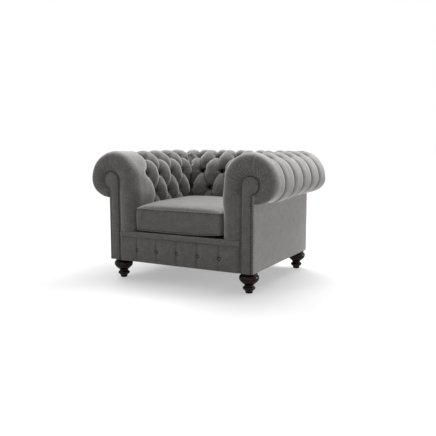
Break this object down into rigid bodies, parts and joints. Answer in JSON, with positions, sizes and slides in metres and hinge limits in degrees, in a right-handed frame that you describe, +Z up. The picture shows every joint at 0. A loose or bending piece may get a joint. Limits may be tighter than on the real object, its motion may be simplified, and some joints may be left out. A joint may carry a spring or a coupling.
{
  "type": "chesterfield armchair",
  "caption": "Deep-buttoned rolled-arm club armchair in grey velvet with a loose seat cushion, nail-trimmed arm fronts and turned dark feet.",
  "frame": {"origin": "on the floor, under the middle of the chair's outline", "axes": "+Z up, the front of the seat faces -Y, +X to the right seen from the front"},
  "size_m": [1.212, 0.972, 0.7616],
  "materials": {
    "grey_velvet": "short cut-pile cotton velvet, soft sheen, brushed marks",
    "dark_mahogany": "turned hardwood, dark stain, gloss lacquer",
    "antique_brass": "domed upholstery nails, aged and darkened",
    "zinc_steel": "zinc-plated steel",
    "jute_hessian": "open jute weave",
    "black_cambric": "non-woven dust cloth",
    "foam_filling": "cut foam with a fibre wrap",
    "beech_frame": "sawn and planed beech, unfinished"
  },
  "bodies": {
    "chair": {"back_lining": "jute_hessian", "back_pad": "grey_velvet", "back_tacking_rail": "beech_frame", "back_top_rail": "beech_frame", "deck_hessian": "jute_hessian", "deck_pad": "foam_filling", "dust_cover": "black_cambric", "front_border": "grey_velvet", "front_left_foot": "dark_mahogany", "front_left_hanger_bolt": "zinc_steel", "front_left_threaded_insert": "zinc_steel", "front_rail": "beech_frame", "front_right_foot": "dark_mahogany", "front_right_hanger_bolt": "zinc_steel", "front_right_threaded_insert": "zinc_steel", "left_arm_lining": "jute_hessian", "left_arm_pad": "grey_velvet", "left_arm_tacking_rail": "beech_frame", "left_arm_top_rail": "beech_frame", "left_back_post": "beech_frame", "left_base_rail": "beech_frame", "left_facing_panel": "grey_velvet", "left_front_corner_block": "beech_frame", "left_nail_trim": "antique_brass", "left_outside_arm": "grey_velvet", "left_rear_corner_block": "beech_frame", "left_scroll_board": "beech_frame", "outside_back": "grey_velvet", "rear_left_foot": "dark_mahogany", "rear_left_hanger_bolt": "zinc_steel", "rear_left_threaded_insert": "zinc_steel", "rear_rail": "beech_frame", "rear_right_foot": "dark_mahogany", "rear_right_hanger_bolt": "zinc_steel", "rear_right_threaded_insert": "zinc_steel", "rear_seat_rail": "beech_frame", "right_arm_lining": "jute_hessian", "right_arm_pad": "grey_velvet", "right_arm_tacking_rail": "beech_frame", "right_arm_top_rail": "beech_frame", "right_back_post": "beech_frame", "right_base_rail": "beech_frame", "right_facing_panel": "grey_velvet", "right_front_corner_block": "beech_frame", "right_nail_trim": "antique_brass", "right_outside_arm": "grey_velvet", "right_rear_corner_block": "beech_frame", "right_scroll_board": "beech_frame", "seat_lip": "grey_velvet", "seat_spring_1": "zinc_steel", "seat_spring_2": "zinc_steel", "seat_spring_3": "zinc_steel", "seat_spring_4": "zinc_steel", "seat_spring_5": "zinc_steel"},
    "seat_cushion": {"seat_cushion_cover": "grey_velvet", "seat_cushion_core": "foam_filling"}
  },
  "joints": [
    {"name": "seat_cushion_lift", "type": "slide", "parent": "chair", "child": "seat_cushion", "axis": [0, 0, 1], "range_m": [0, 0.48]}
  ]
}
